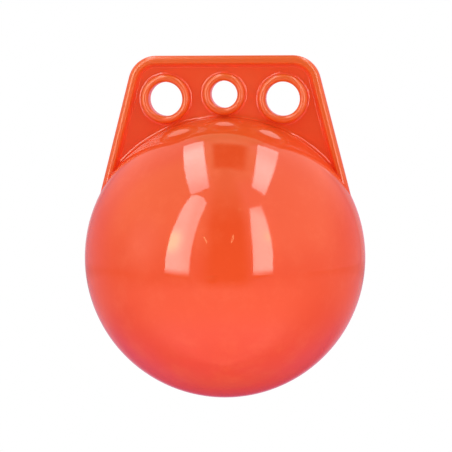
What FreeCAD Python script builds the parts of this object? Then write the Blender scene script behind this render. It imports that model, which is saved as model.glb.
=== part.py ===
import FreeCAD, Part
import math
import os

from FreeCAD import Vector

# A small marker buoy, blow moulded in one piece: a hollow ball with a flat hanging plate.
# The plate stands in the mould's parting plane, Y = 0, and front and back are alike.
# Millimetres, +Z up. The origin is the middle of the centre eye, where the buoy is hung.

# Ball
ball_diameter = 150.0
wall = 2.0

# Plate: a trapezoid whose side edges run down almost tangent to the ball
plate_rise = 32.5
plate_top_width = 95.7
plate_corner_radius = 15.0
plate_tuck = 1.6
panel_thickness = 3.0
ball_blend = 1.5

# Rim along the plate's top and sides: a rounded outer edge, a flat crest and a leaning inner side
rim_width = 3.9
rim_depth = 9.0
rim_edge_round = 2.4
rim_shoulder_round = 0.6
rim_side_lean = 35.0
rim_foot = 0.6

# Eyes, each a through hole in a rounded ring
side_eye_bore = 18.1
centre_eye_bore = 14.4
ring_width = 3.9
ring_depth = 12.9
ring_foot = 1.2

# Flat panel left between a ring's foot and the rim's foot
side_eye_web_above = 2.4
side_eye_web_beside = 1.5
centre_eye_web_above = 1.8

ball_radius = ball_diameter / 2
panel_half = panel_thickness / 2
across = Vector(0, 1, 0)


# Heights here are measured from the ball's centre, and the finished part is lifted at the end.
plate_top = ball_radius + plate_rise


def side_edge_angle():
    """Angle that the plate's right edge leans in by, so that it passes plate_tuck inside the ball."""
    half = plate_top_width / 2
    to_corner = math.hypot(half, plate_top)
    return math.atan2(plate_top, half) - math.acos((ball_radius - plate_tuck) / to_corner)


lean = side_edge_angle()
edge_normal = Vector(math.cos(lean), 0, math.sin(lean))


def mirrored(point):
    return Vector(-point.x, point.y, point.z)


def outline_points(inset):
    """Right half of the plate's outline, moved in by inset: root, corner start, middle and end."""
    to_edge = ball_radius - plate_tuck - inset
    top = plate_top - inset
    radius = plate_corner_radius - inset
    height = top - radius
    centre = Vector((to_edge - radius - height * math.sin(lean)) / math.cos(lean), 0, height)
    halfway = (lean + math.pi / 2) / 2
    root = edge_normal * to_edge
    corner_start = centre + edge_normal * radius
    corner_middle = centre + Vector(math.cos(halfway), 0, math.sin(halfway)) * radius
    corner_end = centre + Vector(0, 0, radius)
    return root, corner_start, corner_middle, corner_end


def plate_path(inset):
    """The outline as an open path, from the left root over the top to the right root."""
    root, start, middle, end = outline_points(inset)
    return [
        Part.LineSegment(mirrored(root), mirrored(start)).toShape(),
        Part.Arc(mirrored(start), mirrored(middle), mirrored(end)).toShape(),
        Part.LineSegment(mirrored(end), end).toShape(),
        Part.Arc(end, middle, start).toShape(),
        Part.LineSegment(start, root).toShape(),
    ]


def plate_slab(inset, half_depth):
    """The whole plate outline as a slab, closed by a straight line inside the ball."""
    root = outline_points(inset)[0]
    closing = Part.LineSegment(root, mirrored(root)).toShape()
    face = Part.Face(Part.Wire(plate_path(inset) + [closing]))
    face.translate(across * -half_depth)
    return face.extrude(across * (2 * half_depth))


class BeadSection:
    """Section of a bead: width at its crest, depth through the plate, and a fillet to the panel.

    u runs from the bead's free face towards the panel, and v from the mid-plane to the front.
    The side towards the panel leans by side_lean degrees from square to it.
    """

    def __init__(self, width, depth, edge_round, shoulder_round, side_lean, foot):
        self.half_depth = depth / 2
        self.edge_round = edge_round
        self.flat_half = self.half_depth - edge_round
        self.turn = math.radians(90 - side_lean)
        self.shoulder = Vector(width - shoulder_round * math.tan(self.turn / 2),
                               self.half_depth - shoulder_round, 0)
        self.shoulder_round = shoulder_round
        side_run = (self.half_depth - panel_half) * math.tan(math.radians(side_lean))
        self.reach = width + side_run + foot * math.tan(self.turn / 2)
        self.foot = foot
        self.foot_centre = Vector(self.reach, panel_half + foot, 0)

    def outward(self, angle):
        """Direction that leans from straight up by angle, towards the panel."""
        return Vector(math.sin(angle), math.cos(angle), 0)

    def front_edges(self, at):
        """Edges of the front half, where at turns a point of the section into one of the part."""
        diagonal = self.edge_round * math.sqrt(0.5)
        edge_middle = Vector(self.edge_round - diagonal, self.flat_half + diagonal, 0)
        crest_start = Vector(self.edge_round, self.half_depth, 0)
        crest_end = self.shoulder + self.outward(0) * self.shoulder_round
        shoulder_middle = self.shoulder + self.outward(self.turn / 2) * self.shoulder_round
        side_top = self.shoulder + self.outward(self.turn) * self.shoulder_round
        side_bottom = self.foot_centre - self.outward(self.turn) * self.foot
        foot_middle = self.foot_centre - self.outward(self.turn / 2) * self.foot
        landing = Vector(self.reach, panel_half, 0)
        edges = [Part.Arc(at(Vector(0, self.flat_half, 0)), at(edge_middle), at(crest_start))]
        if crest_end.x - crest_start.x > 0.01:
            edges.append(Part.LineSegment(at(crest_start), at(crest_end)))
        edges.append(Part.Arc(at(crest_end), at(shoulder_middle), at(side_top)))
        edges.append(Part.LineSegment(at(side_top), at(side_bottom)))
        edges.append(Part.Arc(at(side_bottom), at(foot_middle), at(landing)))
        return edges

    def wire(self, place):
        """Closed wire, where place turns u and v into a point."""
        free_face = Part.LineSegment(place(0, -self.flat_half), place(0, self.flat_half))
        panel_side = Part.LineSegment(place(self.reach, -panel_half), place(self.reach, panel_half))
        edges = [free_face, panel_side]
        edges += self.front_edges(lambda point: place(point.x, point.y))
        edges += self.front_edges(lambda point: place(point.x, -point.y))
        return Part.Wire(Part.__sortEdges__([edge.toShape() for edge in edges]))


rim_section = BeadSection(rim_width, rim_depth, rim_edge_round, rim_shoulder_round,
                          rim_side_lean, rim_foot)
ring_section = BeadSection(ring_width, ring_depth, ring_width / 2, ring_width / 2, 0.0, ring_foot)


def rim():
    """The rim's section swept along the plate's outline."""
    start = mirrored(edge_normal * (ball_radius - plate_tuck))
    inward = mirrored(edge_normal) * -1
    profile = rim_section.wire(lambda u, v: start + inward * u + across * v)
    return Part.Wire(plate_path(0)).makePipe(Part.Face(profile))


class Eye:
    """A ringed through hole. web_above is the flat panel kept under the rim's foot."""

    def __init__(self, bore, web_above, web_beside=None):
        self.radius = bore / 2
        self.foot_radius = self.radius + ring_section.reach
        height = plate_top - rim_section.reach - web_above - self.foot_radius
        offset = 0.0
        if web_beside is not None:
            from_edge = rim_section.reach + web_beside + self.foot_radius
            to_edge = ball_radius - plate_tuck - from_edge
            offset = (to_edge - height * math.sin(lean)) / math.cos(lean)
        self.centre = Vector(offset, 0, height)

    def at_left(self):
        left = Eye.__new__(Eye)
        left.radius = self.radius
        left.foot_radius = self.foot_radius
        left.centre = mirrored(self.centre)
        return left

    def ring(self):
        profile = ring_section.wire(
            lambda u, v: self.centre + Vector(self.radius + u, v, 0))
        return Part.Face(profile).revolve(self.centre, across, 360)

    def socket(self):
        """The round opening that the ring's foot fills in the panel."""
        return cylinder(self.foot_radius, self.centre)


def cylinder(radius, centre):
    """A cylinder across the plate, through the panel only."""
    return Part.makeCylinder(radius, panel_thickness, centre - across * panel_half, across)


right_eye = Eye(side_eye_bore, side_eye_web_above, side_eye_web_beside)
left_eye = right_eye.at_left()
centre_eye = Eye(centre_eye_bore, centre_eye_web_above)
eyes = [left_eye, centre_eye, right_eye]


# Fillet between the ball and the panel, worked out in the half plane through the Y axis:
# its centre lies blend radius outside the ball and blend radius in front of the panel.
blend_height = panel_half + ball_blend
blend_reach = math.sqrt((ball_radius + ball_blend) ** 2 - blend_height ** 2)
blend_share = ball_radius / (ball_radius + ball_blend)
blend_touch = Vector(blend_reach * blend_share, blend_height * blend_share, 0)


def flip(point):
    return Vector(point.x, -point.y, point.z)


def ball():
    """Solid ball, with its faces divided where the panel's fillet touches it."""
    pole = Vector(0, ball_radius, 0)
    halfway = (math.atan2(blend_touch.y, blend_touch.x) + math.pi / 2) / 2
    between = Vector(math.cos(halfway), math.sin(halfway), 0) * ball_radius
    edges = [
        Part.Arc(flip(pole), flip(between), flip(blend_touch)).toShape(),
        Part.Arc(flip(blend_touch), Vector(ball_radius, 0, 0), blend_touch).toShape(),
        Part.Arc(blend_touch, between, pole).toShape(),
        Part.LineSegment(pole, flip(pole)).toShape(),
    ]
    return Part.Face(Part.Wire(edges)).revolve(Vector(0, 0, 0), across, 360)


def ball_collar():
    """Filleted ring round the ball, where the panel springs from it."""
    centre = Vector(blend_reach, blend_height, 0)
    toward_ball = (blend_touch - centre).normalize()
    middle = centre + (toward_ball + across * -1).normalize() * ball_blend
    landing = Vector(blend_reach, panel_half, 0)
    edges = [
        Part.LineSegment(flip(blend_touch), blend_touch).toShape(),
        Part.Arc(blend_touch, middle, landing).toShape(),
        Part.LineSegment(landing, flip(landing)).toShape(),
        Part.Arc(flip(landing), flip(middle), flip(blend_touch)).toShape(),
    ]
    ring = Part.Face(Part.Wire(edges)).revolve(Vector(0, 0, 0), across, 360)
    return ring.common(plate_slab(rim_width / 2, ball_radius))


def panel():
    """Flat web of the plate, open where the ball's collar and the rings' feet go."""
    web = plate_slab(rim_section.reach, panel_half)
    web = web.cut(cylinder(blend_reach, Vector(0, 0, 0)))
    return web.cut([eye.socket() for eye in eyes])


def buoy_body():
    pieces = [ball_collar(), panel(), rim()] + [eye.ring() for eye in eyes]
    body = ball().fuse(pieces)
    body = body.cut(Part.makeSphere(ball_radius - wall, Vector(0, 0, 0)))
    body = body.removeSplitter()
    body.translate(centre_eye.centre * -1)
    return body


body = buoy_body()
solids = body.Solids
print("valid", body.isValid(), "solids", len(solids), "shells", len(body.Shells))
box = body.BoundBox
print("size mm", round(box.XLength, 2), round(box.YLength, 2), round(box.ZLength, 2))
print("lowest", round(box.ZMin, 2), "highest", round(box.ZMax, 2))
print("volume cm3", round(body.Volume / 1000, 2))
for name, eye in (("left", left_eye), ("centre", centre_eye), ("right", right_eye)):
    middle = eye.centre - centre_eye.centre
    print(name, "eye at", round(middle.x, 3), round(middle.z, 3), "radius", eye.radius)
print("eye wall length", 2 * ring_section.flat_half, "lean", round(math.degrees(lean), 2))

os.makedirs("parts", exist_ok=True)
solids[0].exportStep("parts/buoy_body.step")
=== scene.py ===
# %% [markdown]
# # Marker buoy
# A small hanging buoy, blow moulded in one piece from glossy orange plastic: a hollow ball with a
# flat plate on top, which has a rounded rim and three ringed eyes.
# Its shape was made elsewhere with exact round faces, and is loaded here as a fixed frame. A shape
# that is right needs no second model, so this lesson keeps it and gives it what it lacks: the
# plastic, the camera, and a studio of soft lights for the gloss to mirror.

# %% Load the moulded shape
import math
from math import radians

import bpy
from mathutils import Matrix, Vector


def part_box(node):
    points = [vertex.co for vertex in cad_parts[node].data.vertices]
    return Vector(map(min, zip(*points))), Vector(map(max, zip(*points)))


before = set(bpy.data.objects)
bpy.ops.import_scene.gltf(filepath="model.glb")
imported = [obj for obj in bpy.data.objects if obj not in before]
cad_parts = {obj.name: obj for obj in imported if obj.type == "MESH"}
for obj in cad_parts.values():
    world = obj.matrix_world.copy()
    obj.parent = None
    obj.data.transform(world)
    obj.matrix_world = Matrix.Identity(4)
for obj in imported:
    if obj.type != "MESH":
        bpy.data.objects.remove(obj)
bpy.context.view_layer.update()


def in_mm(values):
    return [round(value * 1000, 1) for value in values]


# %% [markdown]
# The shape's origin is the middle of the centre eye, where the buoy hangs. The plastic, the camera
# and the lights are easier to place from the middle of the ball, so that point is measured first.
# The ball is the widest and lowest part, which gives both its radius and its centre.

# %% Find the ball
lowest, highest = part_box("buoy_body")
ball_radius = (highest.x - lowest.x) / 2
ball_centre = Vector((0, 0, lowest.z + ball_radius))
print("ball radius", round(ball_radius * 1000, 2), "mm, centre at", in_mm(ball_centre), "mm")

# %% [markdown]
# The buoy is seen from the front, a little to the right and a little above. A long lens from about
# 0.8 m keeps the outline nearly free of perspective. The camera could be aimed with a constraint,
# but three plain angles say the same thing and leave nothing to be solved later: it swings by the
# yaw, looks down by the pitch and tips by the roll.

# %% Set the camera
camera_place = (0.06875, -0.7970, 0.0996)
yaw, pitch, roll = radians(-4.89), radians(5.917), radians(-0.2)
focal_length, sensor_width = 119.55, 36

camera_data = bpy.data.cameras.new("front_camera")
camera_data.lens = focal_length
camera_data.sensor_width = sensor_width
camera = bpy.data.objects.new("front_camera", camera_data)
bpy.context.scene.collection.objects.link(camera)
camera.location = ball_centre + Vector(camera_place)
flat_share = math.cos(pitch)
ahead = Vector((math.sin(yaw) * flat_share, math.cos(yaw) * flat_share, -math.sin(pitch)))
sideways = Vector((math.cos(yaw), -math.sin(yaw), 0))
upright = sideways.cross(ahead)
right_side = sideways * math.cos(roll) + upright * math.sin(roll)
top_side = upright * math.cos(roll) - sideways * math.sin(roll)
camera.rotation_mode = "QUATERNION"
camera.rotation_quaternion = Matrix((right_side, top_side, -ahead)).transposed().to_quaternion()
bpy.context.scene.camera = camera
print("camera is", round((camera.location - ball_centre).length, 3), "m from the ball's centre")

# %% [markdown]
# Plastic, lights and studio are all node trees, and they share a few moves: add a node, feed a
# socket, do a sum, fade smoothly between two values, blend two colours, pick between two shaders.
# Written once as a small class, these moves keep the recipes below short enough to read.


# %% Node helpers
class Recipe:
    """Adds nodes to one node tree, and joins them up."""

    def __init__(self, tree):
        self.tree = tree

    def add(self, kind, **feeds):
        node = self.tree.nodes.new(kind)
        for name, value in feeds.items():
            self.feed(node.inputs[name.replace("_", " ")], value)
        return node

    def feed(self, socket, value):
        """Value is another node's output, a colour, or a number."""
        if isinstance(value, bpy.types.NodeSocket):
            self.tree.links.new(value, socket)
        elif isinstance(value, tuple):
            socket.default_value = (*value, 1) if len(socket.default_value) == 4 else value
        else:
            socket.default_value = value

    def place(self):
        """Where a point lies, in metres from the shape's origin."""
        return self.add("ShaderNodeTexCoord").outputs["Object"]

    def parts(self, vector):
        """The parts of a vector: across, in depth and up."""
        return self.add("ShaderNodeSeparateXYZ", Vector=vector).outputs

    def distance(self, place, point):
        node = self.add("ShaderNodeVectorMath")
        node.operation = "DISTANCE"
        self.feed(node.inputs[0], place)
        self.feed(node.inputs[1], tuple(point))
        return node.outputs["Value"]

    def sums(self, operation, *values):
        node = self.add("ShaderNodeMath")
        node.operation = operation
        for socket, value in zip(node.inputs, values):
            self.feed(socket, value)
        return node.outputs[0]

    def times(self, *values):
        """All the values multiplied together."""
        product = values[0]
        for value in values[1:]:
            product = self.sums("MULTIPLY", product, value)
        return product

    def apart(self, value, middle):
        """How far value is from middle, to either side."""
        return self.sums("ABSOLUTE", self.sums("SUBTRACT", value, middle))

    def fade(self, value, start, end, first=0.0, last=1.0):
        """Smooth step from first to last, as value goes from start to end."""
        node = self.add("ShaderNodeMapRange", Value=value, From_Min=start, From_Max=end,
                        To_Min=first, To_Max=last)
        node.interpolation_type = "SMOOTHSTEP"
        return node.outputs[0]

    def noise(self, place, per_metre, detail=2.0, roughness=0.5):
        node = self.add("ShaderNodeTexNoise", Vector=place, Scale=per_metre, Detail=detail,
                        Roughness=roughness)
        return node.outputs["Fac"]

    def blend(self, share, first, second):
        """The first colour where share is 0, and the second where it is 1."""
        node = self.add("ShaderNodeMix")
        node.data_type = "RGBA"
        self.feed(node.inputs["Factor"], share)
        self.feed(node.inputs[6], first)
        self.feed(node.inputs[7], second)
        return node.outputs[2]

    def pick(self, share, first, second):
        """The first shader where share is 0, and the second where it is 1."""
        node = self.add("ShaderNodeMixShader", Fac=share)
        self.feed(node.inputs[1], first)
        self.feed(node.inputs[2], second)
        return node.outputs[0]

    def bump(self, height, metres, under=None):
        """Raised by height times metres, on top of the bump under it."""
        node = self.add("ShaderNodeBump", Height=height, Distance=metres, Strength=1.0)
        if under is not None:
            self.feed(node.inputs["Normal"], under)
        return node.outputs["Normal"]


print("node helpers ready")

# %% [markdown]
# ## The plastic
# The dye goes all through the plastic, and the ball's own colour is a deep orange red. The rest is
# painted light. The golden band at its crown, next to the plate, is a painted reflection of the
# plate, and the pinker underside is painted light bounced up from the table. The flat panel is
# thin, and its paler tone, palest in the middle over the ball, is painted light let through it.
# The rim's crest and the eye rings are painted golden: painted light on the raised beads.
# The renderer could send light through the wall to get this, but then no tone could be set without
# moving the others. Six tones, each shown only where it belongs, can be set one by one.

# %% Choose the tones
# The first tone is the ball's own colour. The others are painted light: a painted reflection of
# the plate at the crown, painted light bounced from the table underneath, painted light through
# the panel, and painted light on the beads. The palest tone also gives the wall its random pale
# patches.
ball_orange = (0.93, 0.090, 0.0225)
plate_reflection_orange = (0.89, 0.110, 0.021)
table_bounce_orange = (0.93, 0.075, 0.034)
panel_orange = (0.92, 0.098, 0.030)
pale_tone_and_painted_light = (1.0, 0.148, 0.052)
bead_light_orange = (0.89, 0.121, 0.013)

plastic = bpy.data.materials.new("orange_plastic_gloss")
plastic.use_nodes = True
mix = Recipe(plastic.node_tree)
shader = plastic.node_tree.nodes["Principled BSDF"]
print("palest tone", pale_tone_and_painted_light, "and most golden one", bead_light_orange)

# %% [markdown]
# Masks say where each tone belongs. They could be painted on the mesh, but here they are measured:
# how high a point is on the ball, for the painted plate reflection and the painted table bounce;
# how far off the ball; how far from the middle of the painted light through the panel; and how far
# it stands out from the plate's middle plane, for the painted light on the beads. Measured masks
# follow the shape and need no image. Each one fades in between two lengths, in metres, and heights
# are from the ball's centre.

# %% Measure the masks
plate_reflection_starts, plate_reflection_full = 0.060, 0.069
table_bounce_starts, table_bounce_full = -0.020, -0.052
plate_starts, plate_full = 0.0002, 0.0015
panel_starts, panel_full = 0.0, 0.004
painted_light_spot, painted_light_full, painted_light_ends = (0.002, 0.0, -0.014), 0.012, 0.032
bead_light_starts, bead_light_full = 0.0028, 0.0043

place = mix.place()
depth, rise = mix.parts(place)[1:]
from_plane = mix.sums("ABSOLUTE", depth)
off_ball = mix.sums("SUBTRACT", mix.distance(place, ball_centre), ball_radius)
# Painted reflection of the plate on the crown, and painted light from the table on the underside,
# both placed by height.
in_plate_reflection = mix.fade(rise, ball_centre.z + plate_reflection_starts, ball_centre.z + plate_reflection_full)
in_table_bounce = mix.fade(rise, ball_centre.z + table_bounce_starts, ball_centre.z + table_bounce_full)
on_plate = mix.fade(off_ball, plate_starts, plate_full)
on_panel = mix.fade(off_ball, panel_starts, panel_full)
# Painted light through the panel: palest round a spot in its middle, over the ball.
painted_light_through = mix.fade(mix.distance(place, painted_light_spot), painted_light_ends, painted_light_full)
# Painted light on the beads: the further a part stands out from the plate's middle plane, the more
# golden it is painted.
in_bead_light = mix.times(mix.fade(from_plane, bead_light_starts, bead_light_full), on_plate)
print("golden from", bead_light_starts * 1000, "to", bead_light_full * 1000, "mm off the plate's middle plane")

# %% [markdown]
# The wall of a blown ball is never quite even, and where it is thin it looks a little paler. A
# noise with patches of about 15 mm puts some of the palest tone into the ball's, very faintly.
# Then the tones are laid over each other through their masks, from the ball out to the beads.

# %% Blend the tones
patches_per_metre = 60.0
thin_starts, thin_full, thin_paleness = 0.45, 0.70, 0.26

patches = mix.noise(place, patches_per_metre, detail=5.0, roughness=0.7)
thin_wall = mix.fade(patches, thin_starts, thin_full, 0.0, thin_paleness)
# The crown, underside, panel and bead tones laid on here are painted light. The thin-wall patches
# are the plastic's own uneven tone.
ball_colour = mix.blend(in_plate_reflection, ball_orange, plate_reflection_orange)
ball_colour = mix.blend(in_table_bounce, ball_colour, table_bounce_orange)
ball_colour = mix.blend(thin_wall, ball_colour, pale_tone_and_painted_light)
panel_colour = mix.blend(painted_light_through, panel_orange, pale_tone_and_painted_light)
skin_colour = mix.blend(on_panel, ball_colour, panel_colour)
skin_colour = mix.blend(in_bead_light, skin_colour, bead_light_orange)
mix.feed(shader.inputs["Base Color"], skin_colour)
print("tones blended, with at most", thin_paleness, "of the palest one where the wall is thin")

# %% [markdown]
# The mould was polished, so the skin is glossy, and the studio lights show in it with crisp edges.
# It isn't equally glossy all over: handling and uneven cooling leave faint cloudy patches, and the
# beads and the corners at their feet, where polishing is hard, are duller, so lights blur there.
# A noise with patches of about 25 mm moves the roughness between two low values. The distance from
# the plate's middle plane raises it, most in the corners and less up on the beads.

# %% Polish it
glossiest, dullest, bead_dullness, corner_dullness = 0.045, 0.085, 0.23, 0.34
clouds_per_metre, cloud_starts, cloud_full = 40.0, 0.35, 0.7
corner_starts, corner_full, corner_ends = 0.00152, 0.0018, 0.0032
refraction = 1.5

shader.inputs["IOR"].default_value = refraction
clouds = mix.noise(place, clouds_per_metre, detail=3.0)
open_skin = mix.fade(clouds, cloud_starts, cloud_full, glossiest, dullest)
in_corner = mix.times(mix.fade(from_plane, corner_starts, corner_full), on_plate)
dull_skin = mix.fade(from_plane, corner_full, corner_ends, corner_dullness, bead_dullness)
off_corner = mix.sums("SUBTRACT", 1.0, in_corner)
roughness = mix.sums("ADD", mix.times(open_skin, off_corner), mix.times(dull_skin, in_corner))
mix.feed(shader.inputs["Roughness"], roughness)
print("roughness", glossiest, "to", dullest, "on the open skin,", bead_dullness, "on the beads,",
      corner_dullness, "in the corners")

# %% [markdown]
# A blown skin is never quite true. It has long shallow waves, where the wall cooled unevenly, that
# make the mirrored lights bend a little, and over them lies a very fine orange peel.
# The two halves of the mould met in the plate's middle plane and left a hair line round the buoy.
# All of these are less than a tenth of a millimetre high, so they are bump in the material and not
# mesh. Each bump is laid over the one before it.

# %% Give the skin its waves
waves_per_metre, wave_height = 38.0, 0.00006
peel_per_metre, peel_height = 900.0, 0.000004
parting_half_width, parting_height = 0.0003, 0.00008

waves = mix.bump(mix.noise(place, waves_per_metre, detail=0.5), wave_height)
peel = mix.bump(mix.noise(place, peel_per_metre), peel_height, waves)
parting = mix.bump(mix.fade(from_plane, parting_half_width, 0.0), parting_height, peel)
mix.feed(shader.inputs["Normal"], parting)
print("waves", round(wave_height * 1e6), "and peel", round(peel_height * 1e6), "micrometres high")

# %% [markdown]
# The finish goes into the moulded shape's own material slot. Its mesh stays as it is.

# %% Dress the buoy
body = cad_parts["buoy_body"]
body.data.materials.clear()
body.data.materials.append(plastic)
print("dressed", body.name, "with", len(body.data.polygons), "faces")

# %% [markdown]
# ## The studio
# The buoy hangs with its ball just clear of a plain white table. To the camera, the table and the
# backdrop are the same clean white. To the plastic the table is a real one that catches the light,
# with a pool of lamp light lying in front of the ball and another behind it, which fill the ball's
# underside from both sides. One shader does both by asking what kind of ray has arrived.

# %% Mix the table's white
table_grey, table_roughness = (0.25, 0.25, 0.25), 0.9
front_pool, rear_pool = Vector((0.02, -0.26, -ball_radius)), Vector((0.0, 0.35, -ball_radius))
pool_full, pool_ends, pool_glow = 0.08, 0.36, 1.0

table_white = bpy.data.materials.new("table_white")
table_white.use_nodes = True
table_top = Recipe(table_white.node_tree)
table_shader = table_white.node_tree.nodes["Principled BSDF"]
table_top.feed(table_shader.inputs["Base Color"], table_grey)
table_top.feed(table_shader.inputs["Roughness"], table_roughness)
on_table = table_top.place()
to_front_pool = table_top.distance(on_table, ball_centre + front_pool)
to_rear_pool = table_top.distance(on_table, ball_centre + rear_pool)
to_pool = table_top.sums("MINIMUM", to_front_pool, to_rear_pool)
in_pool = table_top.fade(to_pool, pool_ends, pool_full, 0.0, pool_glow)
pool_light = table_top.add("ShaderNodeEmission", Strength=in_pool)
lit_table = table_top.add("ShaderNodeAddShader")
table_top.feed(lit_table.inputs[0], table_shader.outputs[0])
table_top.feed(lit_table.inputs[1], pool_light.outputs[0])
clean_white = table_top.add("ShaderNodeEmission")
to_camera = table_top.add("ShaderNodeLightPath").outputs["Is Camera Ray"]
table_look = table_top.pick(to_camera, lit_table.outputs[0], clean_white.outputs[0])
table_top.feed(table_white.node_tree.nodes["Material Output"].inputs["Surface"], table_look)
print("pools of light", round(front_pool.y, 2), "and", round(rear_pool.y, 2), "m from the ball")

# %% [markdown]
# The table is one flat sheet, and so is every light further down, so the step that makes a sheet
# is written once. The table is wide enough to fill the view, and it doesn't show in the gloss:
# what the gloss mirrors is painted later.


# %% Lay the table
def flat_panel(name, corners, material):
    """Flat sheet between corners, in millimetres from the ball's centre."""
    mesh = bpy.data.meshes.new(name)
    spots = [ball_centre + Vector(corner) / 1000 for corner in corners]
    mesh.from_pydata(spots, [], [tuple(range(len(spots)))])
    mesh.materials.append(material)
    sheet = bpy.data.objects.new(name, mesh)
    bpy.context.scene.collection.objects.link(sheet)
    return sheet


side_edge, near_edge, far_edge, table_level = 900, -600, 1500, -75.05
table = flat_panel("table", [
    (-side_edge, near_edge, table_level), (side_edge, near_edge, table_level),
    (side_edge, far_edge, table_level), (-side_edge, far_edge, table_level)], table_white)
table.visible_glossy = False
print("table", -table_level, "mm below the ball's centre")

# %% [markdown]
# Four long soft boxes make the four bright shapes on the ball: two hang 0.6 m above it and two
# stand 0.5 m in front, and each mirrors as a bowed strip. Area lights would do, but a glowing
# sheet can have any outline, and here each outline was worked out by following the light back
# from the ball: the strip's corner, its mirror direction, and where that meets the sheet.
# The sheets only show in the gloss. The even light of the room, further down, does the rest.

# %% Make glowing sheets
above, front = 600, -500


def hung(*corners):
    """Corners of a level sheet above the ball, given across and in depth."""
    return [(across, depth, above) for across, depth in corners]


def stood(*corners):
    """Corners of an upright sheet in front of the ball, given across and up."""
    return [(across, front, up) for across, up in corners]


def glow(name, paint):
    """A light material. paint gets its recipe and a place, and gives colour and strength there."""
    material = bpy.data.materials.new(name)
    material.use_nodes = True
    material.node_tree.nodes.clear()
    light = Recipe(material.node_tree)
    colour, strength = paint(light, light.place())
    lamp = light.add("ShaderNodeEmission", Color=colour, Strength=strength)
    light.add("ShaderNodeOutputMaterial", Surface=lamp.outputs[0])
    return material


def soft_box(name, corners, material):
    sheet = flat_panel(name, corners, material)
    sheet.visible_camera = False
    sheet.visible_diffuse = False
    sheet.visible_shadow = False
    print(name, "with", len(corners), "corners")


print("sheets hang", above, "mm above and stand", -front, "mm in front")

# %% [markdown]
# The light of a soft box is never quite even. The top boxes are brightest over the ball and fall
# off towards both ends, and the left one has two brighter folds across its cloth.

# %% Hang the top boxes
top_white = (1.0, 1.0, 0.96)
rear_ends, rear_share = 0.21, 0.55
front_from, front_ends, front_share = -0.15, -0.36, 0.66
fold_lean, fold_half, fold_extra = 0.37, 0.020, 0.9


def top_light(strength, rear_from, folds):
    """Light of one top box. folds are where the brighter folds cross the middle, in metres."""
    def paint(light, spot):
        side, depth = light.parts(spot)[:2]
        bright = light.times(
            light.fade(depth, rear_from, rear_ends, strength, strength * rear_share),
            light.fade(depth, front_from, front_ends, 1.0, front_share))
        leaning = light.sums("ADD", depth, light.times(side, fold_lean))
        for fold in folds:
            on_fold = light.fade(light.apart(leaning, fold), fold_half, 0.0, 0.0, fold_extra)
            bright = light.sums("ADD", bright, on_fold)
        return top_white, bright
    return paint


soft_box("top_box_left",
         hung((-255, 243), (-137, 232), (-97, -326), (-184, -370), (-268, -386), (-271, -196),
              (-261, -12)),
         glow("top_left_glow", top_light(7.35, rear_from=0.07, folds=[-0.044, -0.111])))
soft_box("top_box_right",
         hung((164, 239), (299, 288), (389, -322), (243, -272), (198, -18)),
         glow("top_right_glow", top_light(7.9, rear_from=-0.06, folds=[])))

# %% [markdown]
# The front boxes fade out low down and are a little weaker along their inner sides. Each has a
# warm spot, where a bulb is close behind the cloth.

# %% Stand the front boxes
front_white, warm_white = (1.0, 1.0, 0.92), (1.0, 0.94, 0.64)
foot_ends, foot_full = -0.085, -0.015
inner_side, inner_ends, inner_share = 0.19, 0.30, 0.78
front_strength = 7.4


def front_light(head_from, head_ends, head_share, warm_middle, warm_full, warm_ends, warm_extra):
    """Light of one front box, with heights and places in metres from the ball's centre."""
    def in_frame(rise):
        return ball_centre.z + rise

    def paint(light, spot):
        side, _, up = light.parts(spot)
        bright = light.times(
            light.fade(up, in_frame(foot_ends), in_frame(foot_full), 0.0, front_strength),
            light.fade(up, in_frame(head_from), in_frame(head_ends), 1.0, head_share),
            light.fade(light.sums("ABSOLUTE", side), inner_side, inner_ends, inner_share, 1.0))
        away = light.distance(spot, ball_centre + Vector(warm_middle))
        warmth = light.fade(away, warm_ends, warm_full)
        colour = light.blend(warmth, front_white, warm_white)
        return colour, light.sums("ADD", bright, light.times(warmth, warm_extra))
    return paint


soft_box("front_box_left",
         stood((-352, 773), (-277, 765), (-190, 690), (-122, 560), (-176, 197), (-201, -68),
               (-201, -86), (-439, -86), (-426, 111), (-405, 270), (-387, 374), (-374, 538)),
         glow("front_left_glow", front_light(
             head_from=0.66, head_ends=0.84, head_share=0.8,
             warm_middle=(-0.374, -0.5, 0.185), warm_full=0.030, warm_ends=0.140, warm_extra=5.4)))
soft_box("front_box_right",
         stood((276, 527), (447, 637), (444, 284), (430, -88), (236, -88), (244, 278)),
         glow("front_right_glow", front_light(
             head_from=0.40, head_ends=0.60, head_share=0.65,
             warm_middle=(0.404, -0.5, 0.239), warm_full=0.010, warm_ends=0.070, warm_extra=2.4)))

# %% [markdown]
# Between the two top boxes hangs something unlit, the bar that carries them. It mirrors as a
# darker patch near the top of the ball. Its edges are soft in the mirror, so the sheet turns
# see-through towards its rim: a light that doesn't shine can't be faded in, but a sheet that lets
# the ceiling through can.

# %% Hang the dark bar
bar_colour, bar_strength, bar_lean = (0.4, 1.0, 0.0), 0.08, 0.08
left_rim, right_rim = (-0.088, -0.050), (0.165, 0.100)
rear_rim, front_rim = (0.205, 0.135), (-0.160, -0.090)

bar_shade = bpy.data.materials.new("bar_shade")
bar_shade.use_nodes = True
bar_shade.node_tree.nodes.clear()
bar = Recipe(bar_shade.node_tree)
bar_side, bar_depth = bar.parts(bar.place())[:2]
bar_side = bar.sums("ADD", bar_side, bar.times(bar_depth, bar_lean))
covers = bar.times(bar.fade(bar_side, *left_rim), bar.fade(bar_side, *right_rim),
                   bar.fade(bar_depth, *rear_rim), bar.fade(bar_depth, *front_rim))
unlit = bar.add("ShaderNodeEmission", Color=bar_colour, Strength=bar_strength)
clear = bar.add("ShaderNodeBsdfTransparent")
bar_look = bar.pick(covers, clear.outputs[0], unlit.outputs[0])
bar.add("ShaderNodeOutputMaterial", Surface=bar_look)
soft_box("dark_bar", hung((-110, 220), (180, 220), (180, -180), (-110, -180)), bar_shade)

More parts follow.
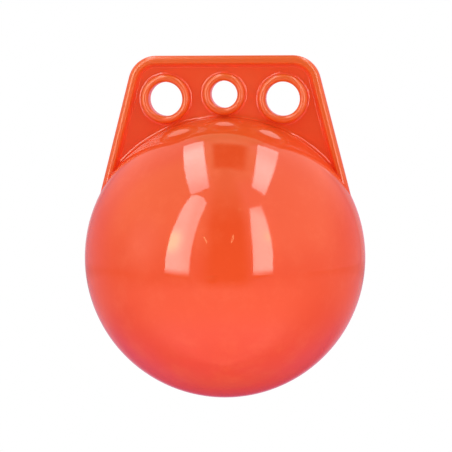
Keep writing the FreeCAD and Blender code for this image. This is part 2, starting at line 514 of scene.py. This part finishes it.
# %% [markdown]
# Three slivers of something bright in front of the ball, edges of stands or fittings, show on it
# as short yellow marks. They are narrow sheets of one plain strength.

# %% Add the bright slivers
sliver_yellow, sliver_strength = (1.0, 0.95, 0.45), 9.0
sliver_glow = glow("sliver_glow", lambda light, spot: (sliver_yellow, sliver_strength))
soft_box("sliver_left", stood((-101, 197), (-95, 199), (-72, 156), (-77, 154)), sliver_glow)
soft_box("sliver_right", stood((100, 217), (105, 215), (90, 160), (85, 161)), sliver_glow)
soft_box("sliver_top", stood((162, 490), (173, 492), (171, 474), (160, 471)), sliver_glow)

# %% [markdown]
# The rest of the studio is too far off to need sheets: it is painted on the sky all round the
# buoy, and each direction gets its colour from its compass angle and its height.
# Compass angles are taken from the buoy: 0 points to the front, where the camera stands, right is
# positive, and 180 is straight behind. Heights are 0 at the horizon and 90 overhead.

# %% Measure directions
aisle_middle = 7

studio = bpy.data.worlds.new("studio")
bpy.context.scene.world = studio
studio.use_nodes = True
studio.node_tree.nodes.clear()
sky = Recipe(studio.node_tree)
across, back, upwards = sky.parts(sky.add("ShaderNodeTexCoord").outputs["Generated"])
turn = sky.sums("ARCTAN2", across, sky.times(back, -1.0))
off_front = sky.sums("ABSOLUTE", turn)
off_aisle = sky.apart(turn, radians(aisle_middle))
height = sky.sums("ARCSINE", upwards)


def by_turn(value, start, end):
    """Fades in while a compass angle goes from start to end, in degrees."""
    return sky.fade(value, radians(start), radians(end))


def by_height(start, end):
    """Fades in while the height goes from start to end, in degrees."""
    return sky.fade(height, radians(start), radians(end))


def round_spot(value, middle, half_width):
    """One at the middle angle, and zero beyond half a width of it."""
    return sky.fade(sky.apart(value, radians(middle)), radians(half_width), 0.0)


print("directions measured with", len(studio.node_tree.nodes), "nodes")

# %% [markdown]
# White screens stand left and right, bright above and dimmer near the table, and a card makes a
# brighter place on the left one. The screens look warm, because the buoy throws some of its own
# orange on them. A value above 1 is brighter than the white that the camera sees.

# %% Paint the screens
left_low, left_high, left_card = (0.60, 0.34, 0.42), (2.00, 1.28, 0.82), (2.10, 1.40, 1.16)
right_low, right_high = (0.90, 0.50, 0.62), (2.00, 1.20, 0.97)

on_card = sky.times(round_spot(turn, -65, 26), round_spot(height, 12, 28))
left_screen = sky.blend(by_height(-8, 35), left_low, left_high)
left_screen = sky.blend(on_card, left_screen, left_card)
right_screen = sky.blend(by_height(-8, 22), right_low, right_high)
screens = sky.blend(by_turn(turn, -20, 20), left_screen, right_screen)
print("brightest value on the screens", max(left_card), "where the camera's white is 1")

# %% [markdown]
# Behind the buoy the screens give way to a rear wall. A lit backdrop hangs in the middle of it and
# shows through the eyes, so the eyes mirror on the ball as three bright spots.

# %% Paint what is behind
wall_low, wall_left, wall_right = (0.65, 0.36, 0.50), (1.55, 0.84, 0.76), (1.60, 1.00, 0.87)
drop_left, drop_right, drop_top = (1.50, 0.82, 0.70), (1.60, 1.18, 1.10), (0.90, 0.72, 0.42)
drop_low_side, drop_low_middle = (0.66, 0.44, 0.52), (0.86, 0.40, 0.52)

rear_high = sky.blend(sky.fade(across, -0.2, 0.2), wall_left, wall_right)
rear_wall = sky.blend(by_height(6, 34), wall_low, rear_high)
walls = sky.blend(by_turn(off_front, 92, 122), screens, rear_wall)
drop_lit = sky.blend(sky.fade(across, -0.1, 0.2), drop_left, drop_right)
drop_low = sky.blend(by_turn(off_front, 162, 170), drop_low_side, drop_low_middle)
backdrop = sky.blend(by_height(15, 19), drop_low, drop_lit)
backdrop = sky.blend(by_height(48, 56), backdrop, drop_top)
walls = sky.blend(by_turn(off_front, 150, 156), walls, backdrop)
print("rear wall and backdrop painted,", len(studio.node_tree.nodes), "nodes so far")

# %% [markdown]
# A ceiling closes the room. Between the screens, behind the camera, is a dark aisle, which keeps
# the middle of the ball deep in colour. High up the aisle gets brighter and meets the ceiling.

# %% Paint the ceiling and the aisle
ceiling_edge, ceiling_middle = (1.50, 1.32, 0.78), (1.10, 1.45, 0.65)
aisle_low, aisle_high = (0.0, 0.02, 0.0), (0.95, 1.02, 0.58)

ceiling = sky.blend(by_height(78, 88), ceiling_edge, ceiling_middle)
walls = sky.blend(by_height(58, 74), walls, ceiling)
in_aisle = sky.sums("SUBTRACT", 1.0, by_turn(off_aisle, 10, 26))
aisle = sky.blend(by_height(30, 68), aisle_low, aisle_high)
walls = sky.blend(in_aisle, walls, aisle)
print("aisle", aisle_middle, "degrees to the right of the front")

# %% [markdown]
# Below the horizon the gloss mirrors the table. In front it is bright and carries a good deal of
# the buoy's own red. It is darker under the ball, where the ball shades it, and darkest behind.

# %% Paint the mirrored table
table_far, table_near, table_under = (1.90, 0.80, 0.84), (2.00, 0.80, 1.12), (1.40, 0.54, 0.56)
beside_low, beside_high = (0.50, 0.22, 0.34), (0.50, 0.18, 0.44)
rear_low, rear_mid, behind_far = (0.56, 0.22, 0.24), (0.56, 0.10, 0.22), (0.75, 0.36, 0.50)

mirrored_table = sky.blend(by_height(-62, -25), table_near, table_far)
mirrored_table = sky.blend(by_height(-85, -44), table_under, mirrored_table)
table_beside = sky.blend(by_height(-62, -48), beside_low, beside_high)
table_rear = sky.blend(by_height(-62, -48), rear_low, rear_mid)
table_behind = sky.blend(by_turn(off_front, 135, 168), table_beside, table_rear)
table_behind = sky.blend(by_height(-32, -18), table_behind, behind_far)
mirrored_table = sky.blend(by_turn(off_front, 50, 100), mirrored_table, table_behind)
mirrored = sky.blend(by_height(-22, -9), mirrored_table, walls)
print("mirrored table painted,", len(studio.node_tree.nodes), "nodes so far")

# %% [markdown]
# Two faint dark lines cross the mirrored studio near the ball's outline, left and right: the
# table's far edge, just under the horizon, and the upright edges of the backdrop.

# %% Draw the dark edges
edge_share, edge_black = 0.28, (0.0, 0.0, 0.0)

table_edge = sky.times(round_spot(height, -9, 3), by_turn(off_front, 60, 85))
backdrop_edge = sky.times(round_spot(off_front, 150, 4), by_height(30, 16), by_height(-12, -6))
edges = sky.times(sky.sums("MAXIMUM", table_edge, backdrop_edge), edge_share)
mirrored = sky.blend(edges, mirrored, edge_black)
print("edges darken the mirrored studio by", edge_share)

# %% [markdown]
# The light that the plastic scatters is soft and comes from everywhere, more from the left and
# right and less from straight above. It is kept apart from what the gloss mirrors: a ray that left
# the plastic by its gloss sees the painted studio, every other one sees this soft white, and the
# camera sees plain white. Such a switch would look false on a mirror ball, but here it only plays
# the part of the many white cards that a photographer sets round a glossy thing.

# %% Light the room
white = (1.0, 1.0, 1.0)
sides_from, sides_full, middle_strength, side_strength = 0.35, 1.0, 0.74, 1.78
overhead_from, overhead_full, overhead_share = 0.4, 1.0, 0.80

to_side = sky.sums("ABSOLUTE", across)
softness = sky.times(sky.fade(to_side, sides_from, sides_full, middle_strength, side_strength),
                     sky.fade(upwards, overhead_from, overhead_full, 1.0, overhead_share))
soft_light = sky.add("ShaderNodeBackground", Color=white, Strength=softness).outputs[0]
gloss_light = sky.add("ShaderNodeBackground", Color=mirrored).outputs[0]
plain_white = sky.add("ShaderNodeBackground", Color=white).outputs[0]
ray = sky.add("ShaderNodeLightPath").outputs
room = sky.pick(ray["Is Glossy Ray"], soft_light, gloss_light)
room = sky.pick(ray["Is Camera Ray"], room, plain_white)
sky.add("ShaderNodeOutputWorld", Surface=room)
print("room lit with", len(studio.node_tree.nodes), "nodes")

# %% [markdown]
# The picture is shown with the plain colour transform. A film-like one would grey the white
# background and pull the orange towards yellow where it is bright.

# %% Choose how colours are shown
bpy.context.scene.view_settings.view_transform = "Standard"
print("view transform", bpy.context.scene.view_settings.view_transform)
